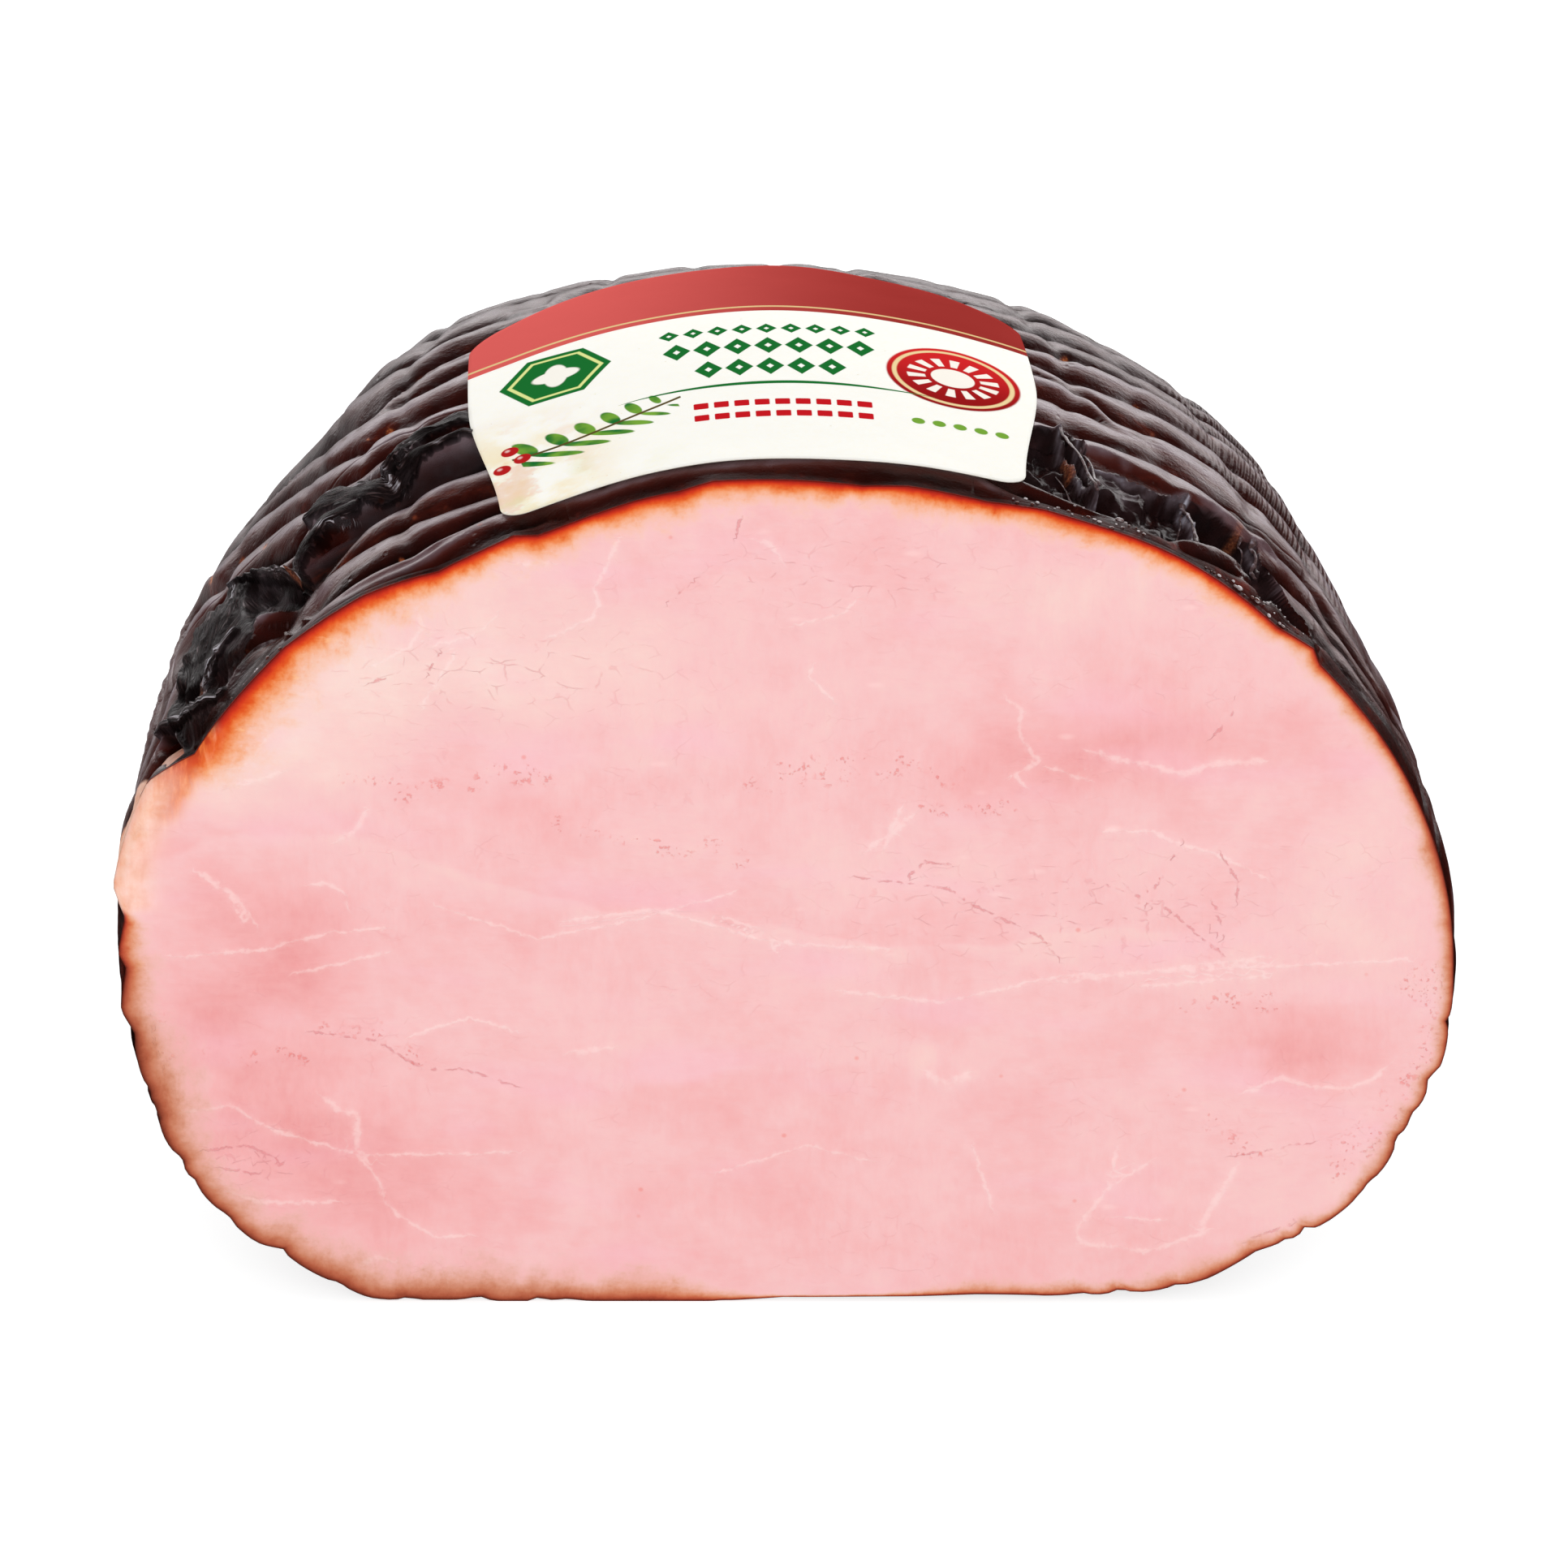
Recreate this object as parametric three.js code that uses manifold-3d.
// Half of a boned smoked ham, moulded in a net, cut straight across, with a paper label on top.
// Millimetres, +Z up. It rests on its flattened underside at z = 0. The cut face looks along -Y
// and the rounded end along +Y. The origin is under the middle of the whole part's box.
import * as THREE from 'three';
import { mergeVertices } from 'three/addons/utils/BufferGeometryUtils.js';
import Module from 'manifold-3d';

const DEGREE = Math.PI / 180;

// Driving dimensions of the ham
const HAM_LENGTH = 140; // from the cut face to the rounded end
const CENTRE_HEIGHT = 72; // height of the point that the section radii start from
const TOP_HEIGHT = 154; // height of the top edge of the cut face
const SIDE_DRIFT = -5.8; // the rounded end lies a little to the left of the cut face
const END_ROUNDNESS = 3.2; // exponent of the end's superellipse, 2 would be a plain ellipse
const BELLY_REACH = 0.75; // share of the length over which the section turns into the belly one
const MEAN_RADIUS = 90; // radius that the length along the surface is measured with

// Radii of two sections, every 15 degrees from +X, anticlockwise seen from the cut side.
// The underside's radii reach a little below the ground, where the flat takes them back up.
const FACE_RADII = [
  110.8, 106.2, 100.0, 94.3, 87.2, 83.3, 81.9, 82.1, 83.0, 89.6, 96.4, 105.0,
  109.2, 111.2, 109.4, 100.8, 85.8, 77.0, 74.0, 75.6, 82.6, 98.2, 108.9, 112.5,
];
const BELLY_RADII = [
  101.0, 99.0, 99.0, 92.6, 87.2, 83.2, 82.0, 82.6, 87.0, 93.2, 94.6, 101.0,
  104.0, 106.0, 106.0, 101.0, 90.0, 82.0, 79.0, 81.0, 88.0, 98.0, 103.0, 103.5,
];

// Net hoops: rounded ridges with narrow valleys, which lean towards the cut lower down
const HOOP_PITCH = 10.5;
const HOOP_START = 0.6; // turn of the hoops at the cut's top edge
const HOOP_HEIGHT = 2.5;
const HOOP_HEIGHT_SPREAD = 0.6;
const HOOP_ROUNDNESS = 0.62;
const LEAN_SLOPE = 0.6; // millimetres towards the cut per millimetre down
const LEAN_START = 25; // how far below the top edge the lean sets in
const LEAN_LIMIT = 55;
const LEAN_FADE_START = 60; // length along the surface up to which the lean is full
const WANDER_SLOW = 2.2; // sideways wander of the hoops
const WANDER_FAST = 0.9;
const POLE_CALM = 16; // length over which the hoops run out before the end's pole

// On both shoulders single ropes of meat between the hoops can be told apart. Each line is the top
// of one rope, from the cut backwards, as points of [angle in degrees, length along the surface].
// A rope that ends is a line that joins its neighbour.
const LEFT_ROPES = [
  [[118, 1], [133, -5], [166, -8]],
  [[118, 8.6], [127, 7.5], [132, 4.6], [146, 2.5], [166, -2]],
  [[118, 15], [128, 14.8], [136, 14.2], [149, 15], [156, 9], [166, 5]],
  [[118, 29], [125, 28], [134.3, 24], [144.8, 26], [158, 19], [166, 14]],
  [
    [118, 38], [131, 37.9], [134.8, 32.5], [142.7, 38.5], [147, 33],
    [150, 33], [154, 40], [161, 41], [166, 24],
  ],
  [[118, 46.5], [126, 46.3], [134.3, 41.7], [138.5, 40.5], [151.4, 51.7], [158.3, 48.5], [166, 59]],
  [[118, 51], [131.8, 49.4], [136.4, 50.7], [139.8, 51.3], [150.2, 62], [159, 62.5], [166, 73]],
  [[118, 65], [131.4, 60], [142.7, 63], [151.8, 74.2], [158, 78], [166, 84]],
  [[118, 74], [129.3, 70.8], [137.5, 61.4], [142.7, 63.6], [151.8, 74.8], [158, 78.6], [166, 84.6]],
  [[118, 84.2], [123.1, 86.3], [131.8, 79.6], [140.6, 82], [166, 97]],
  [[118, 86.5], [124.5, 94.2], [132.3, 88.5], [136, 92], [166, 107]],
];
const RIGHT_ROPES = [
  [[12, -7], [60, -9]],
  [[12, 2], [20, 3.5], [29.3, 3.6], [45, 0], [66, 0]],
  [[12, 7], [22.7, 8], [30.2, 14.5], [45, 9], [66, 11]],
  [[12, 14], [18, 13], [29, 24], [34.5, 21.5], [46, 29], [55, 28.5], [66, 31]],
  [[12, 20], [19, 19], [27.7, 32.7], [36, 38.6], [46, 42], [51.4, 38.6], [66, 42]],
  [[12, 20.6], [19, 19.6], [27.7, 33.3], [36, 39.2], [46, 42.6], [50.2, 40.6], [53.5, 48.2], [66, 53]],
  [[12, 33], [24, 42], [32.7, 50], [43.9, 54.5], [55, 54.5], [66, 60]],
  [[12, 45], [22, 55], [28.5, 61], [41, 65.7], [54.3, 65], [66, 66]],
  [[12, 56], [22, 64], [34.3, 72.7], [42.7, 75.9], [53.5, 75.6], [66, 75]],
  [[12, 66], [22, 74], [37.7, 81.5], [45.2, 87.3], [48.9, 83.8], [53.5, 87.3], [66, 85]],
  [[12, 76], [22, 84], [40, 91], [47.7, 94], [56.8, 96], [66, 92.5]],
];
// Angles between which the lines set in, hold and end again, and how far past a rope's highest
// place each line lies, in turns
const SHOULDERS = [
  { ropes: LEFT_ROPES, reach: [112, 119, 164, 176], lineShare: 0.14 },
  { ropes: RIGHT_ROPES, reach: [6, 17, 62, 69], lineShare: 0.04 },
];
const ROPES_END = [88, 104]; // length along the surface over which the lines give way to even hoops
const CLOSEST_LINES = 0.3;
const SPACING_STEP = 1.5;
const FLAT_SPACING = 1; // ropes nearer together than this merge into one
const FULL_SPACING = 8;
const WIDEST_SPACING = 20;
const SPACING_POWER = 0.4;
const LEAST_TURNS = 0.05; // so that the spacing stays finite where the phase stands still

// At the cut the skin has an outline of its own: points of [angle in degrees, height over the
// crest surface], and how far back from the cut this outline is felt
const CUT_EDGE = [
  [-90, -2.8], [-66, -1.4], [-58.5, -0.5], [-44, -1.3], [-39, -3], [-33.5, -1.1], [-27, -0.7],
  [-20, -1.8], [-14, -0.7], [-5, -1.3], [15, -1.4], [29, -1.5], [30.5, -0.3], [34.5, -1.8],
  [51, -0.9], [61, -0.4], [67, -1.3], [76, -0.8], [81, -1.6], [98, -0.3], [102, -1.3], [119, -1.5],
  [121.5, -0.2], [130.5, -2.3], [138.5, -0.4], [148, 0.1], [152, -0.6], [161.5, -2.6], [166, 1.5],
  [176.5, 1.6], [179.5, -1.1], [183, -0.3], [184.5, -1.7], [188.5, -0.3], [190.5, -1.6],
  [202, -0.6], [214.5, -0.6], [218, -1.5], [226, -0.6], [235, -2.7], [239, -1.6], [244, -2.9],
  [252, -1.6], [270, -2.8],
];
const CUT_EDGE_END = 270;
const CUT_EDGE_REACH = 4;

// Larger forms of the rind and of the bare meat beside it. Each follows a path of
// [angle in degrees, length along the surface]. It rises or sinks over one width towards the cut
// and another behind it, and calms the ropes by a share.
const FOLDS = [
  // black hollow on the left shoulder, and the two strands of torn skin behind it
  {
    path: [[124, 32.5], [131, 31.5], [139, 28.5], [146, 22], [150, 17]],
    front: 4.2, back: 3.4, rise: -3.6, calm: 0.8,
  },
  {
    path: [[131, 37], [134.8, 33], [139.8, 38.2], [144.6, 39.6]],
    front: 2.8, back: 2.6, rise: 1.6, calm: 0.9,
  },
  { path: [[131, 42], [133, 39], [134.5, 35.5]], front: 2.4, back: 2.4, rise: 1.4, calm: 0.9 },
  // flap further down: its raised back edge, its sunk middle and the crumple before it
  { path: [[147, 24], [151, 33], [155, 40.5], [161, 40.5]], front: 3, back: 1.8, rise: 1.5, calm: 0.9 },
  { path: [[150, 27], [156, 24], [161, 14]], front: 6, back: 7, rise: -1.8, calm: 0.9 },
  { path: [[156, 6.4], [159.3, 8.3], [165, 15.8]], front: 2.6, back: 2.2, rise: 1.3, calm: 0.9 },
  { path: [[146, 10], [151, 11], [156, 6], [160, 2]], front: 4.5, back: 5, rise: -2.2, calm: 0.5 },
  // wet hollow on the right shoulder, the sheet of skin in it and the ledge behind it
  { path: [[33, 7], [38, 14.5], [46, 14.5], [56, 18], [66, 19]], front: 8, back: 7, rise: -4, calm: 1 },
  { path: [[50.5, 16], [55, 16]], front: 3.4, back: 3, rise: 1.6, calm: 1 },
  { path: [[37, 22.5], [42, 24.5], [46, 24], [52, 26]], front: 1.4, back: 4, rise: 1, calm: 0 },
  // bare meat that bulges out of the left flank, and the pinch above it
  { path: [[173, -10], [173, 8]], front: 9, back: 9, rise: 1.5, calm: 0 },
  { path: [[162, -10], [162, 4]], front: 4, back: 4, rise: -1.4, calm: 0 },
  // slit in the lower right flank
  { path: [[316, 40], [319, -10]], front: 5, back: 5, rise: -1.4, calm: 0 },
];

// Paper label, laid over the hoops' crests
const LABEL_CENTRE_ANGLE = 92.8;
const LABEL_HALF_ANGLE = 32.6; // from its middle to its side edges, away from the cut
const LABEL_FRONT_TAPER = 2.8; // degrees by which each side edge comes in at the front
const LABEL_FRONT = 5.0; // length along the surface from the cut to the front edge
const LABEL_BACK = 93.5;
const LABEL_BACK_ARCH = 21; // how much nearer the cut the back edge's corners lie
const LABEL_CORNER = 5;
const LABEL_THICKNESS = 0.5;
const LABEL_GAP = 0.35;
const LABEL_COLUMNS = 20;
const LABEL_ROWS = 16;

// Mesh fineness
const HAM_COLUMNS = 80;
const FRONT_ROW_STEP = 2.4;
const BACK_ROW_STEP = 3.4;
const FRONT_ROWS_END = 120;
const ROWS_AHEAD = 2;
const PLACE_ROUNDS = 24; // rounds of correction in which a hoop's place is found
const MERIDIAN_STEPS = 400;
const NORMAL_STEP = 0.5;
const CUT_SNAP = 0.35; // points nearer the cut plane than this are laid on it
const CUTTER_SIZE = 600;

const clamp = (value, low, high) => Math.min(high, Math.max(low, value));
const mix = (a, b, share) => a + (b - a) * share;

function smoothStep(low, high, value) {
  const t = clamp((value - low) / (high - low), 0, 1);
  return t * t * (3 - 2 * t);
}

// Smooth closed curve through radii that stand at equal angles (Catmull-Rom).
function radiusAt(radii, angle) {
  const count = radii.length;
  const place = (((angle % 360) + 360) % 360) / (360 / count);
  const index = Math.floor(place);
  const t = place - index;
  const [a, b, c, d] = [-1, 0, 1, 2].map((step) => radii[(index + step + count) % count]);
  const slope = c - a;
  const bend = 2 * a - 5 * b + 4 * c - d;
  const twist = -a + 3 * b - 3 * c + d;
  return b + 0.5 * t * (slope + t * (bend + t * twist));
}

// Depth and closing factor along the surface, from the cut face to the end's pole.
function makeMeridian() {
  const table = [{ along: 0, share: 0, closing: 1 }];
  for (let step = 1; step <= MERIDIAN_STEPS; step += 1) {
    const turn = (step / MERIDIAN_STEPS) * 90 * DEGREE;
    const share = Math.sin(turn) ** (2 / END_ROUNDNESS);
    const closing = step === MERIDIAN_STEPS ? 0 : Math.cos(turn) ** (2 / END_ROUNDNESS);
    const last = table[table.length - 1];
    const depthStep = (share - last.share) * HAM_LENGTH;
    const radiusStep = (closing - last.closing) * MEAN_RADIUS;
    table.push({ along: last.along + Math.hypot(depthStep, radiusStep), share, closing });
  }
  return table;
}

const MERIDIAN = makeMeridian();
const MERIDIAN_LENGTH = MERIDIAN[MERIDIAN_STEPS].along;

function meridianAt(along) {
  let low = 0;
  let high = MERIDIAN_STEPS;
  while (high - low > 1) {
    const middle = (low + high) >> 1;
    if (MERIDIAN[middle].along > along) high = middle;
    else low = middle;
  }
  const t = (along - MERIDIAN[low].along) / (MERIDIAN[high].along - MERIDIAN[low].along);
  return {
    share: mix(MERIDIAN[low].share, MERIDIAN[high].share, t),
    closing: mix(MERIDIAN[low].closing, MERIDIAN[high].closing, t),
  };
}

// The surface over the hoops' crests. Ahead of the cut the section runs on unchanged.
function crestPoint(angle, along) {
  const { share, closing } = along <= 0 ? { share: 0, closing: 1 } : meridianAt(along);
  const blend = smoothStep(0, BELLY_REACH, share);
  const radius = mix(radiusAt(FACE_RADII, angle), radiusAt(BELLY_RADII, angle), blend) * closing;
  return new THREE.Vector3(
    radius * Math.cos(angle * DEGREE) + SIDE_DRIFT * share,
    along <= 0 ? along : HAM_LENGTH * share,
    CENTRE_HEIGHT + radius * Math.sin(angle * DEGREE),
  );
}

function crestNormal(angle, along) {
  const reach = Math.max(radiusAt(FACE_RADII, angle) * DEGREE, 1);
  const turn = NORMAL_STEP / reach;
  const inner = Math.min(along, MERIDIAN_LENGTH - 2 * NORMAL_STEP);
  const around = crestPoint(angle + turn, inner).sub(crestPoint(angle - turn, inner));
  const onward = crestPoint(angle, inner + NORMAL_STEP).sub(crestPoint(angle, inner - NORMAL_STEP));
  return onward.cross(around).normalize();
}

// How far towards the cut a hoop lies at this angle, compared with its place on top.
function leanAt(angle) {
  const height = CENTRE_HEIGHT + radiusAt(FACE_RADII, angle) * Math.sin(angle * DEGREE);
  const drop = TOP_HEIGHT - height;
  const lean = LEAN_SLOPE * (Math.hypot(drop, LEAN_START) - LEAN_START);
  return LEAN_LIMIT * Math.tanh(lean / LEAN_LIMIT);
}

function leanFade(place) {
  return 1 - smoothStep(LEAN_FADE_START, MERIDIAN_LENGTH, place);
}

// Length along the surface at which the hoop with this place on top passes this angle.
function alongOf(place, angle) {
  return place - leanAt(angle) * leanFade(place);
}

// The other way round, by repeated correction.
function placeOf(along, angle) {
  const lean = leanAt(angle);
  let place = along + lean;
  for (let round = 0; round < PLACE_ROUNDS; round += 1) place = along + lean * leanFade(place);
  return place;
}

function distanceAround(angle, other) {
  const turn = ((((angle - other) % 360) + 540) % 360) - 180;
  return turn * DEGREE * MEAN_RADIUS;
}

// Phase in turns where the hoops run evenly: whole numbers are crests.
function evenPhase(place, angle) {
  const slow = Math.sin(3 * angle * DEGREE + place * 0.05) * WANDER_SLOW;
  const fast = Math.sin(8 * angle * DEGREE - place * 0.11 + 1.3) * WANDER_FAST;
  return HOOP_START + (place + slow + fast) / HOOP_PITCH;
}

// Value of a line at this angle. Beyond its ends a line runs on level.
function lineAt(line, angle) {
  if (angle <= line[0][0]) return line[0][1];
  const next = line.findIndex(([lineAngle]) => lineAngle > angle);
  if (next < 0) return line[line.length - 1][1];
  const [[startAngle, start], [endAngle, end]] = [line[next - 1], line[next]];
  return mix(start, end, (angle - startAngle) / (endAngle - startAngle));
}

// Phase from the lines: whole on each line and even between two of them.
function countedPhase(ropes, along, angle) {
  const tops = ropes.map((line) => lineAt(line, angle));
  let phase = Math.max(along - tops[tops.length - 1], 0) / HOOP_PITCH;
  for (let index = 0; index + 1 < tops.length; index += 1) {
    const gap = Math.max(tops[index + 1] - tops[index], CLOSEST_LINES);
    phase += clamp((along - tops[index]) / gap, 0, 1);
  }
  return phase;
}

function hoopPhase(along, angle) {
  let phase = evenPhase(placeOf(along, angle), angle);
  const fade = 1 - smoothStep(ROPES_END[0], ROPES_END[1], along);
  for (const { ropes, reach, lineShare } of SHOULDERS) {
    const [start, full, last, end] = reach;
    const share = smoothStep(start, full, angle) * (1 - smoothStep(last, end, angle)) * fade;
    if (share > 0) phase = mix(phase, countedPhase(ropes, along, angle) + lineShare, share);
  }
  return phase;
}

// Depth below the crests, as a rounded rope's outline between narrow valleys.
function hoopDepth(place, along, angle) {
  const phase = hoopPhase(along, angle);
  const turns = hoopPhase(along + SPACING_STEP, angle) - hoopPhase(along - SPACING_STEP, angle);
  const spacing = (2 * SPACING_STEP) / Math.max(turns, LEAST_TURNS);
  const width = (Math.min(spacing, WIDEST_SPACING) / HOOP_PITCH) ** SPACING_POWER;
  const calm = smoothStep(0, POLE_CALM, MERIDIAN_LENGTH - along);
  const fullness = smoothStep(FLAT_SPACING, FULL_SPACING, spacing) * width * calm;
  const side = 2 * Math.abs(phase - Math.round(phase));
  const rope = (1 - side * side) ** HOOP_ROUNDNESS;
  const around = Math.sin(5 * angle * DEGREE + place * 0.07);
  const onward = Math.sin(place * 0.19 - 2 * angle * DEGREE);
  const spread = around * onward;
  return (HOOP_HEIGHT + HOOP_HEIGHT_SPREAD * spread) * (1 - rope) * fullness;
}

// Distance to a path: below nothing towards the cut, above nothing behind it.
function offsetFromPath(path, angle, along) {
  let nearest = Infinity;
  let offset = 0;
  for (let index = 0; index + 1 < path.length; index += 1) {
    const [startAngle, startAlong] = path[index];
    const [endAngle, endAlong] = path[index + 1];
    const runX = distanceAround(endAngle, startAngle);
    const runY = endAlong - startAlong;
    const toX = distanceAround(angle, startAngle);
    const toY = along - startAlong;
    const t = clamp((toX * runX + toY * runY) / (runX * runX + runY * runY), 0, 1);
    const gap = Math.hypot(toX - t * runX, toY - t * runY);
    if (gap < nearest) {
      nearest = gap;
      offset = gap * Math.sign(runX * toY - runY * toX);
    }
  }
  return offset;
}

// Height that the folds add, and the share of the ropes' depth that they leave.
function foldsAt(angle, along) {
  let rise = 0;
  let left = 1;
  for (const fold of FOLDS) {
    const offset = offsetFromPath(fold.path, angle, along);
    const away = offset / (offset < 0 ? fold.front : fold.back);
    const share = Math.exp(-away * away);
    rise += fold.rise * share;
    left *= 1 - fold.calm * share;
  }
  return { rise, left };
}

// One point of the rind. What would reach below the ground is pressed flat.
function rindPoint(place, angle) {
  const along = alongOf(place, angle);
  const point = crestPoint(angle, along);
  const { rise, left } = foldsAt(angle, along);
  const relief = rise - hoopDepth(place, along, angle) * left;
  const edge = lineAt(CUT_EDGE, angle > CUT_EDGE_END ? angle - 360 : angle);
  const height = mix(relief, edge, Math.exp(-((along / CUT_EDGE_REACH) ** 2)));
  point.addScaledVector(crestNormal(angle, along), height);
  if (Math.abs(point.y) < CUT_SNAP) point.y = 0;
  point.z = Math.max(point.z, 0);
  return point;
}

function indexedGeometry(points, triangles) {
  const geometry = new THREE.BufferGeometry();
  const coordinates = points.flatMap((point) => [point.x, point.y, point.z]);
  geometry.setAttribute('position', new THREE.Float32BufferAttribute(coordinates, 3));
  geometry.setIndex(triangles.flat());
  return geometry;
}

// The moulded ham before the cut: rows of points follow the hoops, from a plain front disc
// ahead of the cut plane to the pole of the rounded end.
function mouldedHam() {
  const places = [];
  let place = -ROWS_AHEAD * FRONT_ROW_STEP;
  while (place < MERIDIAN_LENGTH - BACK_ROW_STEP / 2) {
    places.push(place);
    place += place < FRONT_ROWS_END ? FRONT_ROW_STEP : BACK_ROW_STEP;
  }
  const points = [];
  for (const rowPlace of places) {
    for (let column = 0; column < HAM_COLUMNS; column += 1) {
      points.push(rindPoint(rowPlace, (column * 360) / HAM_COLUMNS));
    }
  }
  const front = points.push(new THREE.Vector3(0, -LEAN_LIMIT, CENTRE_HEIGHT)) - 1;
  const pole = points.push(crestPoint(0, MERIDIAN_LENGTH)) - 1;
  const triangles = [];
  const last = (places.length - 1) * HAM_COLUMNS;
  for (let column = 0; column < HAM_COLUMNS; column += 1) {
    const next = (column + 1) % HAM_COLUMNS;
    triangles.push([front, column, next]);
    triangles.push([pole, last + next, last + column]);
    for (let row = 0; row + 1 < places.length; row += 1) {
      const here = row * HAM_COLUMNS;
      const there = here + HAM_COLUMNS;
      triangles.push([here + column, there + next, here + next]);
      triangles.push([here + column, there + column, there + next]);
    }
  }
  return indexedGeometry(points, triangles);
}

// The label: a thin sheet over the crests, with bowed sides, an arched back edge and round corners.
function labelSheet() {
  const rows = [];
  for (let row = 0; row <= LABEL_ROWS; row += 1) {
    const up = 0.5 - 0.5 * Math.cos((row / LABEL_ROWS) * Math.PI);
    const length = LABEL_BACK - LABEL_FRONT;
    const fromEnd = Math.min(up, 1 - up) * length;
    const short = Math.max(LABEL_CORNER - fromEnd, 0);
    const inset = LABEL_CORNER - Math.sqrt(LABEL_CORNER * LABEL_CORNER - short * short);
    const taper = LABEL_FRONT_TAPER * (1 - smoothStep(0, 0.6, up));
    const half = LABEL_HALF_ANGLE - taper - inset / (MEAN_RADIUS * DEGREE);
    rows.push({ up, half });
  }
  const outer = [];
  const inner = [];
  for (const { up, half } of rows) {
    for (let column = 0; column <= LABEL_COLUMNS; column += 1) {
      const side = (2 * column) / LABEL_COLUMNS - 1;
      const angle = LABEL_CENTRE_ANGLE + side * half;
      const arch = LABEL_BACK_ARCH * ((side * half) / LABEL_HALF_ANGLE) ** 2;
      const along = LABEL_FRONT + up * (LABEL_BACK - arch - LABEL_FRONT);
      const base = crestPoint(angle, along);
      const normal = crestNormal(angle, along);
      inner.push(base.clone().addScaledVector(normal, LABEL_GAP));
      outer.push(base.clone().addScaledVector(normal, LABEL_GAP + LABEL_THICKNESS));
    }
  }
  const width = LABEL_COLUMNS + 1;
  const back = outer.length;
  const triangles = [];
  for (let row = 0; row < LABEL_ROWS; row += 1) {
    for (let column = 0; column < LABEL_COLUMNS; column += 1) {
      const a = row * width + column;
      const [b, c, d] = [a + 1, a + width, a + width + 1];
      triangles.push([a, d, b], [a, c, d]);
      triangles.push([back + a, back + b, back + d], [back + a, back + d, back + c]);
    }
  }
  const rim = [];
  for (let column = 0; column < LABEL_COLUMNS; column += 1) rim.push(column);
  for (let row = 0; row < LABEL_ROWS; row += 1) rim.push(row * width + LABEL_COLUMNS);
  for (let column = LABEL_COLUMNS; column > 0; column -= 1) rim.push(LABEL_ROWS * width + column);
  for (let row = LABEL_ROWS; row > 0; row -= 1) rim.push(row * width);
  rim.forEach((here, index) => {
    const next = rim[(index + 1) % rim.length];
    triangles.push([here, back + next, back + here], [here, next, back + next]);
  });
  return indexedGeometry([...outer, ...inner], triangles);
}

const wasm = await Module();
wasm.setup();

function toManifold(geometry) {
  const bare = geometry.clone();
  bare.deleteAttribute('normal');
  bare.deleteAttribute('uv');
  const merged = mergeVertices(bare);
  return new wasm.Manifold(new wasm.Mesh({
    numProp: 3,
    vertProperties: Float32Array.from(merged.attributes.position.array),
    triVerts: Uint32Array.from(merged.index.array),
  }));
}

function fromManifold(solid) {
  const mesh = solid.getMesh();
  const geometry = new THREE.BufferGeometry();
  geometry.setAttribute('position', new THREE.BufferAttribute(Float32Array.from(mesh.vertProperties), 3));
  geometry.setIndex(new THREE.BufferAttribute(Uint32Array.from(mesh.triVerts), 1));
  return geometry;
}

// Everything ahead of the knife's plane goes.
function cutHam() {
  const knife = new THREE.BoxGeometry(CUTTER_SIZE, CUTTER_SIZE, CUTTER_SIZE);
  knife.translate(0, -CUTTER_SIZE / 2, 0);
  return fromManifold(toManifold(mouldedHam()).subtract(toManifold(knife)));
}

const rindAndMeat = new THREE.MeshStandardMaterial({ color: 0x3d2422, roughness: 0.45, metalness: 0 });
const paper = new THREE.MeshStandardMaterial({ color: 0xf0ead9, roughness: 0.6, metalness: 0 });

const ham = new THREE.Mesh(cutHam(), rindAndMeat);
ham.name = 'ham';

const label = new THREE.Mesh(labelSheet(), paper);
label.name = 'label';

const smokedHam = new THREE.Group();
smokedHam.add(ham, label);

// The origin goes under the middle of the box.
const box = new THREE.Box3().setFromObject(smokedHam);
const middle = box.getCenter(new THREE.Vector3());
for (const piece of [ham, label]) piece.geometry.translate(-middle.x, -middle.y, -box.min.z);

export default smokedHam;
